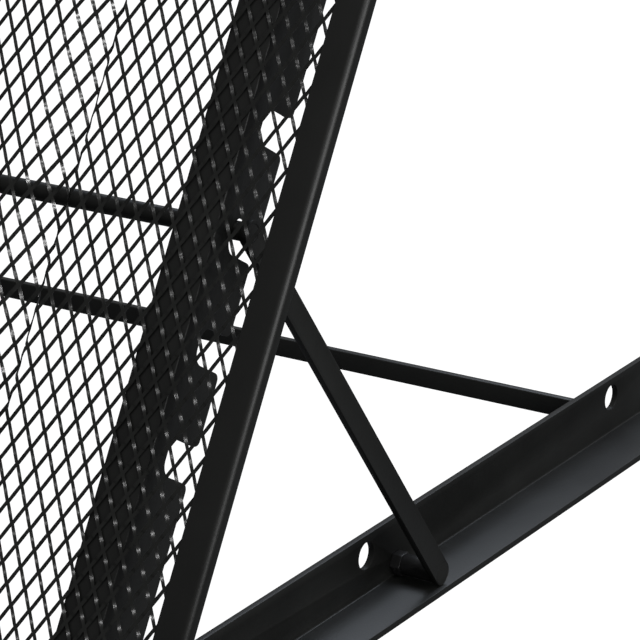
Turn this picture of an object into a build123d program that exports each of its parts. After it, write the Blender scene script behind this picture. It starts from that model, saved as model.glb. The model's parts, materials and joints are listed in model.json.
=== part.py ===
from build123d import *

import math
import os

# Folding side table: an expanded-metal top hinged on a low angle-iron base and
# held at a slope by a swinging prop, whose rod sits in one of four notches in
# the rails under the top.
#
# Frame: millimetres, +Z up, +X to the user's right, -Y towards the hinged edge.
# The origin is on the ground, under the middle of the model. Lengths on the top are
# measured as run (up the slope from its lower edge) and depth (behind its face).

# ---------------------------------------------------------------- sizes
BASE_WIDTH = 430.0
ARM_FRONT = -274.0
ARM_REAR = 262.0
ANGLE_FLANGE = 30.0
ANGLE_LEG = 31.0
ANGLE_WALL = 3.0
ANGLE_CORNER = 0.8
FIXING_HOLE_RADIUS = 6.5
FIXING_HOLE_HEIGHT = 21.1
FIXING_HOLES_Y = (-25.5, 208.5)
CROSS_BAR_BOTTOM = 13.0
CROSS_BAR_TOP = 23.0
CROSS_BAR_THICK = 4.0
REAR_CROSS_BAR_Y = 189.5
HINGE_CROSS_BAR_Y = -240.0

TOP_SLOPE = 59.12
TOP_EDGE_Y = -285.84
TOP_EDGE_Z = 30.0
TOP_WIDTH = 544.3
SIDE_BAR_WIDTH = 14.7
SIDE_BAR_DEPTH = 6.6
SIDE_BAR_START = 8.0
SIDE_BAR_END = 520.0
SIDE_BAR_CORNER = 2.8
END_BAR_WIDTH = 15.0
BOTTOM_BAR_START = 12.0

MESH_FACE_DEPTH = 0.4
MESH_THICK = 1.6
GROOVE_DEPTH = 4.5
GROOVE_CENTRE = 157.8
GROOVE_STEEP_WIDTH = 5.0
GROOVE_GENTLE_WIDTH = 24.0
GROOVE_POINTS = 6

RAIL_FACE_DEPTH = MESH_FACE_DEPTH + MESH_THICK
RAIL_BACK_DEPTH = 35.1
RAIL_INSET = 14.5
RAIL_WALL = 3.0
RAIL_FLANGE = 20.0
RAIL_EYE = 12.0
RAIL_EYE_ROUND = 10.0
NOTCH_COUNT = 4
FIRST_NOTCH_RUN = 129.87
NOTCH_PITCH = 46.26
NOTCH_HEIGHT = 15.4
NOTCH_BOTTOM_DEPTH = 13.87
NOTCH_INNER_RADIUS = 6.0
NOTCH_TAB_RADIUS = 3.0

HINGE_RUN = 5.86
HINGE_DEPTH = 27.1
PIN_DIAMETER = 8.0
PIN_FIT = 0.05

PROP_PIVOT_HEIGHT = 8.92
PROP_LEAN = 52.885
PROP_LENGTH = 256.58
STRUT_WIDTH = 11.0
STRUT_THICK = 3.3
STRUT_OUTSET = 24.7
ROD_DIAMETER = 8.0
SCREW_DIAMETER = 6.0

SMALL_NUT_HEIGHT = 5.0
SMALL_NUT_FLATS = 10.0
LARGE_NUT_HEIGHT = 6.5
LARGE_NUT_FLATS = 13.0
BOLT_HEAD_HEIGHT = 5.3
SCREW_HEAD_HEIGHT = 2.5
SCREW_HEAD_DIAMETER = 10.6
THREAD_END = 2.0
SPACER_WALL = 2.0
END_GAP = 0.3

HALF_BASE = BASE_WIDTH / 2
TOP_COS = math.cos(math.radians(TOP_SLOPE))
TOP_SIN = math.sin(math.radians(TOP_SLOPE))
SIDES = {"right": 1, "left": -1}


# ---------------------------------------------------------------- helpers
def top_point(run, depth):
    """Y and Z of a point on the sloping top."""
    y = TOP_EDGE_Y + run * TOP_COS + depth * TOP_SIN
    z = TOP_EDGE_Z + run * TOP_SIN - depth * TOP_COS
    return y, z


def on_top(shape):
    """Tilts a shape modelled flat (X across, Y run, Z minus depth) into the top's place."""
    return Pos(0, TOP_EDGE_Y, TOP_EDGE_Z) * Rot(TOP_SLOPE, 0, 0) * shape


def span_x(start, end, y, z, diameter):
    """A round bar along X between two places."""
    return Pos((start + end) / 2, y, z) * Rot(0, 90, 0) * Cylinder(diameter / 2, end - start)


def hex_prism(start, end, y, z, flats):
    """A hexagonal bar along X with its flats facing up and down."""
    body = extrude(RegularPolygon(flats / 2, 6, major_radius=False, rotation=30), end - start)
    return Pos(start, y, z) * Rot(0, 90, 0) * body


def hex_nut(start, end, y, z, flats, bore):
    """A hexagonal nut along X."""
    return hex_prism(start, end, y, z, flats) - span_x(start - 1, end + 1, y, z, bore)


def side_box(start, end, y_range, z_range):
    """A box between two places along X, Y and Z."""
    size = (end - start, y_range[1] - y_range[0], z_range[1] - z_range[0])
    return Pos(start, y_range[0], z_range[0]) * Box(*size, align=(Align.MIN,) * 3)


# ---------------------------------------------------------------- places
INNER_FACE = HALF_BASE - ANGLE_WALL
STRUT_OUTER = HALF_BASE + STRUT_OUTSET
STRUT_INNER = STRUT_OUTER - STRUT_THICK
WEB_INNER = HALF_BASE + RAIL_INSET
WEB_OUTER = WEB_INNER + RAIL_WALL
HALF_TOP = TOP_WIDTH / 2
INNER_TOP = HALF_TOP - SIDE_BAR_WIDTH
BOTTOM_BAR_END = BOTTOM_BAR_START + END_BAR_WIDTH
TOP_BAR_START = SIDE_BAR_END - END_BAR_WIDTH
PROP_Y = 0.0
PROP_Z = PROP_PIVOT_HEIGHT
HINGE_Y, HINGE_Z = top_point(HINGE_RUN, HINGE_DEPTH)
ROD_Y = -PROP_LENGTH * math.cos(math.radians(PROP_LEAN))
ROD_Z = PROP_Z + PROP_LENGTH * math.sin(math.radians(PROP_LEAN))


# ---------------------------------------------------------------- base
def arm():
    """An angle lying flange down and outwards, with two fixing holes and two pivot holes."""
    arm_range = (ARM_FRONT, ARM_REAR)
    flange = side_box(HALF_BASE, INNER_FACE + ANGLE_FLANGE, arm_range, (0, ANGLE_WALL))
    leg = side_box(INNER_FACE, HALF_BASE, arm_range, (0, ANGLE_LEG))
    angle = flange + leg
    corner = [
        e for e in angle.edges().filter_by(Axis.Y)
        if abs(e.center().X - HALF_BASE) < 0.1 and abs(e.center().Z - ANGLE_WALL) < 0.1
    ]
    angle = fillet(corner, ANGLE_CORNER)
    for y in FIXING_HOLES_Y:
        angle -= leg_hole(y, FIXING_HOLE_HEIGHT, FIXING_HOLE_RADIUS * 2)
    angle -= leg_hole(PROP_Y, PROP_Z, SCREW_DIAMETER)
    angle -= leg_hole(HINGE_Y, HINGE_Z, PIN_DIAMETER)
    return angle


def leg_hole(y, z, diameter):
    """A round cutter through the arm's upright leg."""
    return span_x(INNER_FACE - ANGLE_WALL, HALF_BASE + ANGLE_WALL, y, z, diameter)


def cross_bar(y):
    """A flat bar on edge between the two arms."""
    return side_box(-INNER_FACE, INNER_FACE, (y, y + CROSS_BAR_THICK), (CROSS_BAR_BOTTOM, CROSS_BAR_TOP))


# ---------------------------------------------------------------- fasteners
def prop_screw():
    """A countersunk screw, its head flush in the strut, passing through the arm."""
    end = INNER_FACE - SMALL_NUT_HEIGHT - THREAD_END
    shank_diameter = SCREW_DIAMETER - 2 * PIN_FIT
    shank = span_x(end, STRUT_OUTER - SCREW_HEAD_HEIGHT, PROP_Y, PROP_Z, shank_diameter)
    head = Cone(shank_diameter / 2, SCREW_HEAD_DIAMETER / 2 - PIN_FIT, SCREW_HEAD_HEIGHT)
    return shank + Pos(STRUT_OUTER - SCREW_HEAD_HEIGHT / 2, PROP_Y, PROP_Z) * Rot(0, 90, 0) * head


def prop_nut(start):
    """A small nut on the prop's screw."""
    return hex_nut(start, start + SMALL_NUT_HEIGHT, PROP_Y, PROP_Z, SMALL_NUT_FLATS, SCREW_DIAMETER)


def spacer(start, end, y, z, bore):
    """A tube along X with a clear bore."""
    return span_x(start, end, y, z, bore + 2 * SPACER_WALL) - span_x(start - 1, end + 1, y, z, bore)


def hinge_bolt():
    """A hex-headed bolt through the rail's web and the arm."""
    head_start = WEB_OUTER + END_GAP
    end = INNER_FACE - LARGE_NUT_HEIGHT - THREAD_END
    shank = span_x(end, head_start, HINGE_Y, HINGE_Z, PIN_DIAMETER - 2 * PIN_FIT)
    head = hex_prism(head_start, head_start + BOLT_HEAD_HEIGHT, HINGE_Y, HINGE_Z, LARGE_NUT_FLATS)
    return shank + head


def hinge_nut():
    """The nut on the hinge bolt, inside the arm."""
    start = INNER_FACE - LARGE_NUT_HEIGHT
    return hex_nut(start, INNER_FACE, HINGE_Y, HINGE_Z, LARGE_NUT_FLATS, PIN_DIAMETER)


# ---------------------------------------------------------------- top
def side_bar():
    """The flat bar down one side of the top, with a rounded outer corner at its face."""
    size = (SIDE_BAR_WIDTH, SIDE_BAR_END - SIDE_BAR_START, SIDE_BAR_DEPTH)
    bar = Pos(INNER_TOP, SIDE_BAR_START, 0) * Box(*size, align=(Align.MIN, Align.MIN, Align.MAX))
    outer_edges = bar.edges().filter_by(Axis.Y).group_by(Axis.X)[-1]
    return on_top(fillet(outer_edges.sort_by(Axis.Z)[-1], SIDE_BAR_CORNER))


def end_bar(start):
    """A flat bar across the top, between the side bars."""
    bar = Box(2 * INNER_TOP, END_BAR_WIDTH, SIDE_BAR_DEPTH, align=(Align.CENTER, Align.MIN, Align.MAX))
    return on_top(Pos(0, start, 0) * bar)


def groove_dip(across):
    """How far back the pressed grooves push the mesh: steep outside, gentle inside."""
    offset = abs(across) - GROOVE_CENTRE
    width = GROOVE_STEEP_WIDTH if offset > 0 else GROOVE_GENTLE_WIDTH
    return GROOVE_DEPTH * (1 + math.cos(math.pi * min(abs(offset) / width, 1))) / 2


def mesh_outline(depth):
    """The mesh's cross-section line from its middle to its right edge, at one depth."""
    gentle = [GROOVE_CENTRE - GROOVE_GENTLE_WIDTH * (1 - i / GROOVE_POINTS) for i in range(GROOVE_POINTS)]
    steep = [GROOVE_CENTRE + GROOVE_STEEP_WIDTH * i / GROOVE_POINTS for i in range(GROOVE_POINTS + 1)]
    right = [(across, -depth - groove_dip(across)) for across in (*gentle, *steep, INNER_TOP)]
    left = [(-across, height) for across, height in reversed(right)]
    return left + right


def mesh_sheet():
    """The mesh panel's envelope: a thin sheet with two pressed grooves up it."""
    face = mesh_outline(MESH_FACE_DEPTH)
    back = mesh_outline(MESH_FACE_DEPTH + MESH_THICK)
    section = Plane.XZ * make_face(Polyline(*face, *reversed(back), close=True))
    sheet = extrude(section, -(TOP_BAR_START - BOTTOM_BAR_END))
    return on_top(Pos(0, BOTTOM_BAR_END, 0) * sheet)


def rail_profile():
    """The web's side view, run along X and minus depth along Y, before its notches."""
    start = HINGE_RUN - RAIL_EYE
    web = Rectangle(TOP_BAR_START - start, RAIL_BACK_DEPTH - SIDE_BAR_DEPTH, align=(Align.MIN, Align.MAX))
    web = Pos(start, -SIDE_BAR_DEPTH) * web
    web = fillet(web.vertices().group_by(Axis.X)[0], RAIL_EYE_ROUND)
    lip = Rectangle(
        TOP_BAR_START - BOTTOM_BAR_END, SIDE_BAR_DEPTH - RAIL_FACE_DEPTH, align=(Align.MIN, Align.MAX))
    return web + Pos(BOTTOM_BAR_END, -RAIL_FACE_DEPTH) * lip


def cut_notches(web):
    """Cuts the open notches into the web's back edge and rounds the tabs between them."""
    for i in range(NOTCH_COUNT):
        run = FIRST_NOTCH_RUN + i * NOTCH_PITCH
        notch = Rectangle(NOTCH_HEIGHT, 2 * (RAIL_BACK_DEPTH - NOTCH_BOTTOM_DEPTH))
        web -= Pos(run, -RAIL_BACK_DEPTH) * fillet(notch.vertices(), NOTCH_INNER_RADIUS)
    first = FIRST_NOTCH_RUN - NOTCH_PITCH / 2
    last = first + NOTCH_COUNT * NOTCH_PITCH
    tab_corners = [
        v for v in web.vertices() if abs(v.Y + RAIL_BACK_DEPTH) < 0.01 and first < v.X < last
    ]
    return fillet(tab_corners, NOTCH_TAB_RADIUS)


def rail():
    """An angle under the mesh: a flange against it and a notched web standing back."""
    web = cut_notches(rail_profile()) - Pos(HINGE_RUN, -HINGE_DEPTH) * Circle(PIN_DIAMETER / 2)
    web_side = Plane(origin=(WEB_INNER, 0, 0), x_dir=(0, 1, 0), z_dir=(1, 0, 0))
    flange = Box(
        RAIL_FLANGE, TOP_BAR_START - BOTTOM_BAR_END, RAIL_WALL, align=(Align.MAX, Align.MIN, Align.MAX))
    flange = Pos(WEB_OUTER, BOTTOM_BAR_END, -RAIL_FACE_DEPTH) * flange
    return on_top(web_side * extrude(web, RAIL_WALL) + flange)


# ---------------------------------------------------------------- prop
def strut():
    """A flat bar with round ends from the pivot screw up to the rod."""
    flat = SlotCenterToCenter(PROP_LENGTH, STRUT_WIDTH)
    flat -= Pos(PROP_LENGTH / 2, 0) * Circle(ROD_DIAMETER / 2)
    flat -= Pos(-PROP_LENGTH / 2, 0) * Circle(SCREW_DIAMETER / 2)
    blade = extrude(flat, STRUT_THICK)
    sink = Cone(SCREW_DIAMETER / 2, SCREW_HEAD_DIAMETER / 2, SCREW_HEAD_HEIGHT)
    blade -= Pos(-PROP_LENGTH / 2, 0, STRUT_THICK - SCREW_HEAD_HEIGHT / 2) * sink
    middle = Pos(PROP_LENGTH / 2, 0, 0) * blade
    side_view = Plane(origin=(STRUT_INNER, PROP_Y, PROP_Z), x_dir=(0, 1, 0), z_dir=(1, 0, 0))
    return side_view * Rot(0, 0, 180 - PROP_LEAN) * middle


def prop_rod():
    """The round rod that joins the two struts and drops into the notches."""
    return span_x(-STRUT_OUTER, STRUT_OUTER, ROD_Y, ROD_Z, ROD_DIAMETER)


# ---------------------------------------------------------------- the assembly
def build_parts():
    """Every node, with the paired pieces mirrored from right to left."""
    paired = {
        "arm": arm(),
        "prop_screw": prop_screw(),
        "prop_outer_nut": prop_nut(HALF_BASE),
        "prop_inner_nut": prop_nut(INNER_FACE - SMALL_NUT_HEIGHT),
        "prop_spacer": spacer(
            HALF_BASE + SMALL_NUT_HEIGHT, STRUT_INNER - END_GAP, PROP_Y, PROP_Z, SCREW_DIAMETER),
        "hinge_bolt": hinge_bolt(),
        "hinge_nut": hinge_nut(),
        "hinge_spacer": spacer(HALF_BASE, WEB_INNER - END_GAP, HINGE_Y, HINGE_Z, PIN_DIAMETER),
        "side_bar": side_bar(),
        "notched_rail": rail(),
        "strut": strut(),
    }
    nodes = {
        "rear_cross_bar": cross_bar(REAR_CROSS_BAR_Y),
        "hinge_cross_bar": cross_bar(HINGE_CROSS_BAR_Y),
        "bottom_bar": end_bar(BOTTOM_BAR_START),
        "top_bar": end_bar(TOP_BAR_START),
        "mesh_top": mesh_sheet(),
        "prop_rod": prop_rod(),
    }
    for name, shape in paired.items():
        for side, sign in SIDES.items():
            nodes[f"{name}_{side}"] = shape if sign > 0 else mirror(shape, Plane.YZ)
    return nodes


def main():
    """Writes each node to its own STEP file, with the origin under the model's middle."""
    nodes = build_parts()
    box = Compound(children=[Compound([shape]) for shape in nodes.values()]).bounding_box()
    shift = Pos(0, -(box.min.Y + box.max.Y) / 2, 0)
    os.makedirs("parts", exist_ok=True)
    for name, shape in nodes.items():
        export_step(shift * shape, f"parts/{name}.step")
    print("shift along Y", round(-(box.min.Y + box.max.Y) / 2, 4))
    print("hinge", round(HINGE_Y, 3), round(HINGE_Z, 3), "rod", round(ROD_Y, 3), round(ROD_Z, 3))


main()
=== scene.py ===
import json
import math

import bpy
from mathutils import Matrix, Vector


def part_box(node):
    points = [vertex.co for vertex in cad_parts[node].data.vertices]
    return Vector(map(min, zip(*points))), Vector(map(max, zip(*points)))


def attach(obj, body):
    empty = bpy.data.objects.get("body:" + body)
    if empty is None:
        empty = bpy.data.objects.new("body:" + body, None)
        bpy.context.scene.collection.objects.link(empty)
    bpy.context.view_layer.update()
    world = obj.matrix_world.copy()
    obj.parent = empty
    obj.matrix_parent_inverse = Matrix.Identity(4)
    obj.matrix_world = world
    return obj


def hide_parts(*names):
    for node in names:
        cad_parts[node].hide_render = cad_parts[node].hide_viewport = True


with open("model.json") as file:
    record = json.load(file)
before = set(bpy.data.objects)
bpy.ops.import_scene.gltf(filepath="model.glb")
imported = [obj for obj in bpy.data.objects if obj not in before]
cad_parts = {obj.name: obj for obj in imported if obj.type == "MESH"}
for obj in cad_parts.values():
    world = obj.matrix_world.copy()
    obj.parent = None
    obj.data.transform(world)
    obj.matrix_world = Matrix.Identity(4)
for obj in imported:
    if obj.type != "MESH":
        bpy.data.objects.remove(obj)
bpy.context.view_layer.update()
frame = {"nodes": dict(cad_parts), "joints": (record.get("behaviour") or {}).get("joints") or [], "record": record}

bl_info = {
    "name": "Folding Side Table",
    "version": (1, 0, 0),
    "blender": (4, 5, 0),
    "location": "View3D > Sidebar > Side Table",
    "description": "Builds the finished pieces of a folding side table on its frame",
    "category": "Object",
}

SIDES = ("right", "left")
FASTENER_KINDS = (
    "prop_screw",
    "prop_outer_nut",
    "prop_inner_nut",
    "prop_spacer",
    "hinge_bolt",
    "hinge_nut",
    "hinge_spacer",
)
MERGE_DISTANCE = 0.00001
FLAT_ANGLE = math.radians(1)
BEVEL_FROM_ANGLE = math.radians(40)
SMOOTH_STEEL_ANGLE = math.radians(30)
SMOOTH_MESH_ANGLE = math.radians(35)


# ---------------------------------------------------------------- places from the frame
def centre_of(node):
    """The middle of a frame node's box."""
    low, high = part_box(node)
    return (low + high) / 2


def joint_place(name):
    """Where a joint's axis passes through the middle plane."""
    joint = next(j for j in frame["joints"] if j["name"] == name)
    return Vector(joint["pos_m"])


BOTTOM_BAR = centre_of("bottom_bar")
TOP_BAR = centre_of("top_bar")
UP_SLOPE = (TOP_BAR - BOTTOM_BAR).normalized()
OUT_OF_FACE = Vector((1, 0, 0)).cross(UP_SLOPE)
MESH_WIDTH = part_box("bottom_bar")[1].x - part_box("bottom_bar")[0].x


# ---------------------------------------------------------------- settings
class SideTableMesh(bpy.types.PropertyGroup):
    """Sizes of the expanded-metal top."""

    diamond_width: bpy.props.FloatProperty(
        name="Diamond Width", description="Short way of one diamond", default=0.0090, unit="LENGTH")
    diamond_length: bpy.props.FloatProperty(
        name="Diamond Length", description="Long way of one diamond", default=0.0156, unit="LENGTH")
    skew_up: bpy.props.FloatProperty(
        name="Skew Up", description="Sideways drift of the diamonds for each unit up the top",
        default=-0.047)
    skew_across: bpy.props.FloatProperty(
        name="Skew Across", description="Drop of the diamonds for each unit across the top",
        default=-0.036)
    overhang: bpy.props.FloatProperty(
        name="Overhang", description="Mesh laid past the frame before it is trimmed",
        default=0.03, unit="LENGTH")
    bar_half_width: bpy.props.FloatProperty(
        name="Frame Bar Half Width", description="Half the width of the bottom and top bars",
        default=0.0075, unit="LENGTH")
    strand_width: bpy.props.FloatProperty(
        name="Strand Width", description="Width of one strand", default=0.00125, unit="LENGTH")
    strand_thickness: bpy.props.FloatProperty(
        name="Strand Thickness", description="Thickness of the sheet", default=0.0006, unit="LENGTH")
    strand_lift: bpy.props.FloatProperty(
        name="Strand Lift", description="How far each strand's edges turn out of the sheet",
        default=-0.00042, unit="LENGTH")
    face_height: bpy.props.FloatProperty(
        name="Face Height", description="The sheet's middle above the middle of the frame bars",
        default=0.0021, unit="LENGTH")
    groove_depth: bpy.props.FloatProperty(
        name="Groove Depth", description="Depth of each pressed groove", default=0.0045, unit="LENGTH")
    groove_centre: bpy.props.FloatProperty(
        name="Groove Centre", description="From the middle of the top to a groove's deepest line",
        default=0.1578, unit="LENGTH")
    groove_steep_width: bpy.props.FloatProperty(
        name="Steep Wall", description="Width of a groove's outer wall", default=0.0035, unit="LENGTH")
    groove_gentle_width: bpy.props.FloatProperty(
        name="Gentle Wall", description="Width of a groove's inner wall", default=0.024, unit="LENGTH")


class SideTableFinish(bpy.types.PropertyGroup):
    """Colours and edge sizes of the coated steel."""

    coat_colour: bpy.props.FloatVectorProperty(
        name="Powder Coat", description="Colour of the coated steel", subtype="COLOR",
        size=3, default=(0.0065, 0.0068, 0.0062), min=0.0, max=1.0)
    fastener_colour: bpy.props.FloatVectorProperty(
        name="Fastener Black", description="Colour of the blackened bolts and nuts", subtype="COLOR",
        size=3, default=(0.012, 0.012, 0.0125), min=0.0, max=1.0)
    edge_radius: bpy.props.FloatProperty(
        name="Edge Radius", description="Softened edge under the coat", default=0.0005, unit="LENGTH")
    rolled_edge_radius: bpy.props.FloatProperty(
        name="Rolled Edge Radius", description="Rounder edge of the rolled angles and flat struts",
        default=0.001, unit="LENGTH")


# ---------------------------------------------------------------- materials
PATCH_SCALE = 22.0
DULL_TINT = 0.75
DUSTY_TINT = 1.45
GLOSSIER_BY = 0.06
DULLER_BY = 0.08
PEBBLE_DEPTH = 0.00015
COAT_SPECULAR = 0.4


def add_node(tree, kind, **inputs):
    """A shader node with its input values set."""
    node = tree.nodes.new(kind)
    for key, value in inputs.items():
        node.inputs[key.replace("_", " ")].default_value = value
    return node


def coated_steel(name, colour, roughness, grain):
    """Satin black powder coat: a fine pebbled skin, uneven gloss and faint dusty patches."""
    material = bpy.data.materials.get(name)
    if material:
        return material
    material = bpy.data.materials.new(name)
    material.use_nodes = True
    tree = material.node_tree
    shader = tree.nodes["Principled BSDF"]
    place = tree.nodes.new("ShaderNodeTexCoord")

    patches = add_node(tree, "ShaderNodeTexNoise", Scale=PATCH_SCALE, Detail=4.0, Roughness=0.6)
    tree.links.new(place.outputs["Object"], patches.inputs["Vector"])
    tint = tree.nodes.new("ShaderNodeValToRGB")
    tint.color_ramp.elements[0].position = 0.3
    tint.color_ramp.elements[0].color = (*[c * DULL_TINT for c in colour], 1)
    tint.color_ramp.elements[1].position = 0.75
    tint.color_ramp.elements[1].color = (*[c * DUSTY_TINT for c in colour], 1)
    tree.links.new(patches.outputs["Fac"], tint.inputs["Fac"])
    tree.links.new(tint.outputs["Color"], shader.inputs["Base Color"])

    gloss = tree.nodes.new("ShaderNodeMapRange")
    gloss.inputs["To Min"].default_value = roughness - GLOSSIER_BY
    gloss.inputs["To Max"].default_value = roughness + DULLER_BY
    tree.links.new(patches.outputs["Fac"], gloss.inputs["Value"])
    tree.links.new(gloss.outputs["Result"], shader.inputs["Roughness"])

    pebbles = add_node(tree, "ShaderNodeTexNoise", Scale=grain, Detail=2.0, Roughness=0.5)
    tree.links.new(place.outputs["Object"], pebbles.inputs["Vector"])
    bump = add_node(tree, "ShaderNodeBump", Strength=0.25, Distance=PEBBLE_DEPTH)
    tree.links.new(pebbles.outputs["Fac"], bump.inputs["Height"])
    tree.links.new(bump.outputs["Normal"], shader.inputs["Normal"])
    shader.inputs["Specular IOR Level"].default_value = COAT_SPECULAR
    return material


def frame_coat():
    """The coat on the bars, angles and struts."""
    finish = bpy.context.scene.side_table_finish
    return coated_steel("frame_powder_coat", tuple(finish.coat_colour), 0.42, 900.0)


def mesh_coat():
    """The coat on the mesh, glossier where it pooled on the strands."""
    finish = bpy.context.scene.side_table_finish
    return coated_steel("mesh_powder_coat", tuple(finish.coat_colour), 0.22, 1300.0)


def fastener_black():
    """Blackened steel on the bolts, nuts and spacers."""
    finish = bpy.context.scene.side_table_finish
    return coated_steel("fastener_black", tuple(finish.fastener_colour), 0.32, 1600.0)


# ---------------------------------------------------------------- modelling helpers
def choose_only(obj):
    """Leaves one object selected and active."""
    bpy.ops.object.select_all(action="DESELECT")
    obj.hide_set(False)
    obj.select_set(True)
    bpy.context.view_layer.objects.active = obj


def body_of_node(node):
    """The body that a frame node belongs to."""
    bodies = frame["record"]["behaviour"]["bodies"]
    return next(body for body, nodes in bodies.items() if node in nodes)


def dress(piece, node, material):
    """Gives a finished piece its coat and its body, and hides the frame node it stands for."""
    piece.data.materials.clear()
    piece.data.materials.append(material)
    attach(piece, body_of_node(node))
    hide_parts(node)


def soft_edged_copy(node, material, radius):
    """A copy of a frame node with one skin and its sharp edges eased by the coat."""
    piece = frame["nodes"][node].copy()
    piece.data = piece.data.copy()
    piece.name = f"coated_{node}"
    # the copy drops the frame's own marks, so that it isn't taken for a frame node
    for key in list(piece.keys()):
        del piece[key]
    bpy.context.scene.collection.objects.link(piece)
    choose_only(piece)
    bpy.ops.object.mode_set(mode="EDIT")
    bpy.ops.mesh.select_all(action="SELECT")
    bpy.ops.mesh.remove_doubles(threshold=MERGE_DISTANCE)
    bpy.ops.mesh.dissolve_limited(angle_limit=FLAT_ANGLE)
    bpy.ops.object.mode_set(mode="OBJECT")
    bevel = piece.modifiers.new("eased_edges", "BEVEL")
    bevel.width = radius
    bevel.segments = 2
    bevel.limit_method = "ANGLE"
    bevel.angle_limit = BEVEL_FROM_ANGLE
    bevel.use_clamp_overlap = True
    bpy.ops.object.modifier_apply(modifier=bevel.name)
    bpy.ops.object.shade_smooth_by_angle(angle=SMOOTH_STEEL_ANGLE)
    dress(piece, node, material)
    return piece


# ---------------------------------------------------------------- operators
class SIDETABLE_OT_base(bpy.types.Operator):
    """Coats the two angle arms and the cross bars between them"""

    bl_idname = "side_table.base"
    bl_label = "Base"

    def execute(self, context):
        finish = context.scene.side_table_finish
        for node in ("arm_right", "arm_left"):
            soft_edged_copy(node, frame_coat(), finish.rolled_edge_radius)
        for node in ("rear_cross_bar", "hinge_cross_bar"):
            soft_edged_copy(node, frame_coat(), finish.edge_radius)
        return {"FINISHED"}


class SIDETABLE_OT_fasteners(bpy.types.Operator):
    """Coats the prop's screws like its struts, and blackens the bolts, nuts and spacers"""

    bl_idname = "side_table.fasteners"
    bl_label = "Fasteners"

    def execute(self, context):
        radius = context.scene.side_table_finish.edge_radius / 2
        for kind in FASTENER_KINDS:
            coat = frame_coat() if kind == "prop_screw" else fastener_black()
            for side in SIDES:
                soft_edged_copy(f"{kind}_{side}", coat, radius)
        return {"FINISHED"}


class SIDETABLE_OT_top_frame(bpy.types.Operator):
    """Coats the top's bars and its two notched rails"""

    bl_idname = "side_table.top_frame"
    bl_label = "Top Frame"

    def execute(self, context):
        radius = context.scene.side_table_finish.edge_radius
        for node in ("side_bar_right", "side_bar_left", "top_bar", "bottom_bar",
                     "notched_rail_right", "notched_rail_left"):
            soft_edged_copy(node, frame_coat(), radius)
        return {"FINISHED"}


class SIDETABLE_OT_prop(bpy.types.Operator):
    """Coats the prop's struts and its cross rod"""

    bl_idname = "side_table.prop"
    bl_label = "Prop"

    def execute(self, context):
        finish = context.scene.side_table_finish
        for node in ("strut_right", "strut_left"):
            soft_edged_copy(node, frame_coat(), finish.rolled_edge_radius)
        soft_edged_copy("prop_rod", frame_coat(), finish.edge_radius)
        return {"FINISHED"}


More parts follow.
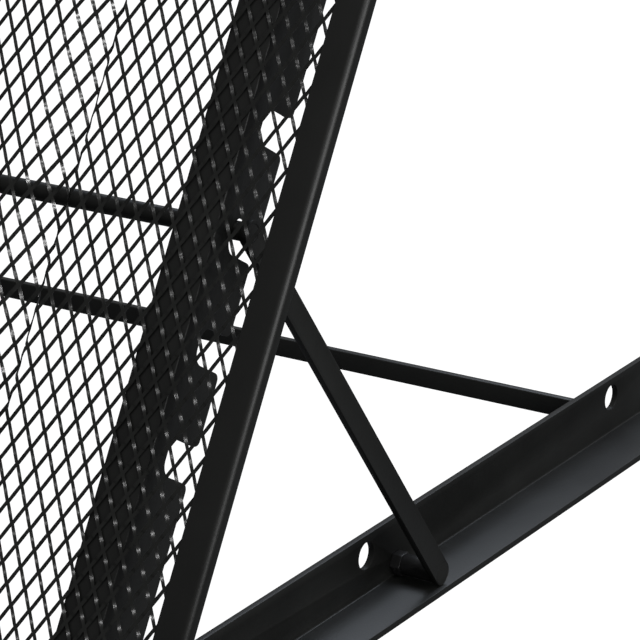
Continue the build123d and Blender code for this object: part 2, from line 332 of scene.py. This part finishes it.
class SIDETABLE_OT_mesh(bpy.types.Operator):
    """Builds the expanded-metal top with its two pressed grooves"""

    bl_idname = "side_table.mesh"
    bl_label = "Expanded Mesh"

    def quarter_strand(self, width, length, sizes):
        """One strand from a side knuckle to an end knuckle, its edges turned out of the sheet."""
        diagonal = math.hypot(width, length)
        half = sizes.strand_width / 2
        across = half * diagonal / length
        along = half * diagonal / width
        shift = Vector((half * length / diagonal, half * width / diagonal))
        middle = Vector((width / 4, length / 4))
        lift = sizes.strand_lift
        inner = [
            (width / 2 - across, 0, -lift),
            (middle.x - shift.x, middle.y - shift.y, -lift),
            (0, length / 2 - along, 0),
            (0, length / 2, 0),
        ]
        outer = [
            (width / 2, 0, 0),
            (width / 2, along, 0),
            (middle.x + shift.x, middle.y + shift.y, lift),
            (across, length / 2, lift),
        ]
        bpy.ops.object.select_all(action="DESELECT")
        bpy.ops.mesh.primitive_grid_add(x_subdivisions=1, y_subdivisions=3, size=2)
        strand = bpy.context.object
        ordered = sorted(strand.data.vertices, key=lambda v: (round(v.co.y, 4), v.co.x))
        for row in range(4):
            ordered[2 * row].co = inner[row]
            ordered[2 * row + 1].co = outer[row]
        return strand

    def full_diamond(self, strand):
        """The strand turned and mirrored into the four strands round one diamond."""
        choose_only(strand)
        bpy.ops.object.mode_set(mode="EDIT")
        bpy.ops.mesh.select_all(action="SELECT")
        bpy.ops.mesh.duplicate()
        bpy.ops.transform.rotate(value=math.pi, orient_axis="Y", center_override=(0, 0, 0))
        bpy.ops.mesh.select_all(action="SELECT")
        bpy.ops.mesh.duplicate()
        bpy.ops.transform.resize(value=(1, -1, 1), center_override=(0, 0, 0))
        bpy.ops.mesh.select_all(action="SELECT")
        bpy.ops.mesh.remove_doubles(threshold=MERGE_DISTANCE)
        bpy.ops.mesh.normals_make_consistent(inside=False)
        bpy.ops.object.mode_set(mode="OBJECT")

    def repeat(self, mesh, axis, count, step):
        """Repeats the mesh along one axis, with its knuckles merged."""
        array = mesh.modifiers.new("repeat", "ARRAY")
        array.count = count
        array.use_relative_offset = False
        array.use_constant_offset = True
        array.constant_offset_displace = [step if i == axis else 0 for i in range(3)]
        array.use_merge_vertices = True
        array.merge_threshold = MERGE_DISTANCE
        bpy.ops.object.modifier_apply(modifier=array.name)

    def trim(self, place, outward):
        """Cuts the laid mesh off square at one side of the frame and closes the cut strands."""
        bpy.ops.mesh.select_all(action="SELECT")
        bpy.ops.mesh.bisect(plane_co=place, plane_no=outward, clear_outer=True, use_fill=True)

    def crease(self, across):
        """Cuts a line up the mesh where the press folds it, so that the fold runs straight."""
        bpy.ops.mesh.select_all(action="SELECT")
        bpy.ops.mesh.bisect(plane_co=(across, 0, 0), plane_no=(1, 0, 0))

    def execute(self, context):
        sizes = context.scene.side_table_mesh
        run = (TOP_BAR - BOTTOM_BAR).length - 2 * sizes.bar_half_width
        width = sizes.diamond_width
        length = sizes.diamond_length
        columns = math.ceil((MESH_WIDTH + 2 * sizes.overhang) / width)
        rows = math.ceil((run + 2 * sizes.overhang) / length)
        mesh = self.quarter_strand(width, length, sizes)
        mesh.name = "expanded_mesh_top"
        self.full_diamond(mesh)
        self.repeat(mesh, 0, columns, width)
        self.repeat(mesh, 1, rows, length)
        wall = mesh.modifiers.new("sheet", "SOLIDIFY")
        wall.thickness = sizes.strand_thickness
        wall.offset = 0
        bpy.ops.object.modifier_apply(modifier=wall.name)

        for vertex in mesh.data.vertices:
            across = vertex.co.x - (columns - 1) * width / 2
            up = vertex.co.y - (rows - 1) * length / 2
            vertex.co.x = across + sizes.skew_up * up
            vertex.co.y = up + sizes.skew_across * across
        bpy.ops.object.mode_set(mode="EDIT")
        for sign in (-1, 1):
            self.trim((sign * MESH_WIDTH / 2, 0, 0), (sign, 0, 0))
            self.trim((0, sign * run / 2, 0), (0, sign, 0))
            self.crease(sign * sizes.groove_centre)
            self.crease(sign * (sizes.groove_centre + sizes.groove_steep_width))
        bpy.ops.object.mode_set(mode="OBJECT")

        middle = (BOTTOM_BAR + TOP_BAR) / 2
        for vertex in mesh.data.vertices:
            across, up, lift = vertex.co
            height = lift + sizes.face_height - self.groove(across, sizes)
            vertex.co = middle + Vector((across, 0, 0)) + UP_SLOPE * up + OUT_OF_FACE * height
        bpy.ops.object.shade_smooth_by_angle(angle=SMOOTH_MESH_ANGLE)
        dress(mesh, "mesh_top", mesh_coat())
        return {"FINISHED"}

    def groove(self, across, sizes):
        """Depth of the pressed grooves at a place across the top: steep outside, gentle inside."""
        offset = abs(across) - sizes.groove_centre
        width = sizes.groove_steep_width if offset > 0 else sizes.groove_gentle_width
        return sizes.groove_depth * (1 + math.cos(math.pi * min(abs(offset) / width, 1))) / 2


FLOOR_SIZE = 40
FLOOR_TONE = (0.12, 0.12, 0.12, 1)
FLOOR_GLOW = 1.0
WORLD_STRENGTH = 0.22
PALE_BLUE = (0.80, 0.88, 1.0)
WHITE = (1, 1, 1)
# name, place, aim, disk width, power in watts, colour
LAMPS = (
    ("overhead", (0.1, 2.2, 2.9), (0.25, 0.0, 0.0), 2.5, 60, PALE_BLUE),
    ("high_front", (1.34, -0.92, 2.84), (0.25, 0.0, 0.2), 0.35, 26, WHITE),
    ("soft_box", (2.3, -0.6, 0.9), (0.25, 0.0, 0.2), 1.8, 36, WHITE),
)
ARM_WALL = 0.003
LENS = 214.7
CAMERA_FROM_PIVOT = Vector((0.8107, -1.3682, 0.6945))
CAMERA_ELEVATION = 19.7
CAMERA_AZIMUTH = 31.88


class SIDETABLE_OT_stage(bpy.types.Operator):
    """Sets the pale floor, the soft lights and the camera"""

    bl_idname = "side_table.stage"
    bl_label = "Stage"

    def floor(self):
        """A floor that glows pale for the camera alone and is dark to reflections and lamps.

        It stays clean and free of shadows, and the black coat doesn't pick up its brightness.
        """
        bpy.ops.object.select_all(action="DESELECT")
        bpy.ops.mesh.primitive_plane_add(size=FLOOR_SIZE)
        floor = bpy.context.object
        floor.name = "floor"
        material = bpy.data.materials.new("pale_floor")
        material.use_nodes = True
        tree = material.node_tree
        shader = tree.nodes["Principled BSDF"]
        shader.inputs["Base Color"].default_value = FLOOR_TONE
        shader.inputs["Roughness"].default_value = 0.9
        shader.inputs["Specular IOR Level"].default_value = 0.0
        shader.inputs["Emission Color"].default_value = (1, 1, 1, 1)
        path = tree.nodes.new("ShaderNodeLightPath")
        glow = tree.nodes.new("ShaderNodeMath")
        glow.operation = "MULTIPLY"
        glow.inputs[1].default_value = FLOOR_GLOW
        tree.links.new(path.outputs["Is Camera Ray"], glow.inputs[0])
        tree.links.new(glow.outputs["Value"], shader.inputs["Emission Strength"])
        floor.data.materials.append(material)

    def light(self, name, place, target, size, energy, colour):
        """A round soft lamp aimed at the table."""
        data = bpy.data.lights.new(name, "AREA")
        data.shape = "DISK"
        data.size = size
        data.energy = energy
        data.color = colour
        lamp = bpy.data.objects.new(name, data)
        bpy.context.scene.collection.objects.link(lamp)
        lamp.location = place
        lamp.rotation_euler = (Vector(target) - Vector(place)).to_track_quat("-Z", "Y").to_euler()

    def camera(self):
        """A long lens placed from the right prop pivot, looking down over that corner."""
        pivot = joint_place("prop_swing")
        arm_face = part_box("arm_right")[0].x + ARM_WALL
        data = bpy.data.cameras.new("view")
        data.lens = LENS
        data.sensor_width = 36
        data.clip_end = 60
        camera = bpy.data.objects.new("view", data)
        bpy.context.scene.collection.objects.link(camera)
        camera.location = Vector((arm_face, pivot.y, 0)) + CAMERA_FROM_PIVOT
        camera.rotation_euler = (
            math.radians(90 - CAMERA_ELEVATION), 0, math.radians(CAMERA_AZIMUTH))
        bpy.context.scene.camera = camera

    def execute(self, context):
        self.floor()
        world = bpy.data.worlds.new("studio")
        world.use_nodes = True
        world.node_tree.nodes["Background"].inputs["Color"].default_value = (1, 1, 1, 1)
        world.node_tree.nodes["Background"].inputs["Strength"].default_value = WORLD_STRENGTH
        context.scene.world = world
        for lamp in LAMPS:
            self.light(*lamp)
        context.scene.view_settings.view_transform = "Standard"
        self.camera()
        return {"FINISHED"}


class SIDETABLE_PT_panel(bpy.types.Panel):
    """Lists the pieces of the table"""

    bl_idname = "SIDETABLE_PT_panel"
    bl_label = "Side Table"
    bl_space_type = "VIEW_3D"
    bl_region_type = "UI"
    bl_category = "Side Table"

    def draw(self, context):
        for name in OPERATOR_ORDER:
            self.layout.operator(f"side_table.{name}")
        for group in (context.scene.side_table_mesh, context.scene.side_table_finish):
            for name in group.bl_rna.properties.keys():
                if name not in ("rna_type", "name"):
                    self.layout.prop(group, name)


# ---------------------------------------------------------------- registration
OPERATOR_ORDER = ("base", "fasteners", "top_frame", "mesh", "prop", "stage")
CLASSES = (
    SideTableMesh,
    SideTableFinish,
    SIDETABLE_OT_base,
    SIDETABLE_OT_fasteners,
    SIDETABLE_OT_top_frame,
    SIDETABLE_OT_mesh,
    SIDETABLE_OT_prop,
    SIDETABLE_OT_stage,
    SIDETABLE_PT_panel,
)


def register():
    for cls in CLASSES:
        bpy.utils.register_class(cls)
    bpy.types.Scene.side_table_mesh = bpy.props.PointerProperty(type=SideTableMesh)
    bpy.types.Scene.side_table_finish = bpy.props.PointerProperty(type=SideTableFinish)


def unregister():
    del bpy.types.Scene.side_table_finish
    del bpy.types.Scene.side_table_mesh
    for cls in reversed(CLASSES):
        bpy.utils.unregister_class(cls)


def main():
    register()
    for name in OPERATOR_ORDER:
        getattr(bpy.ops.side_table, name)()


if __name__ == "__main__":
    main()
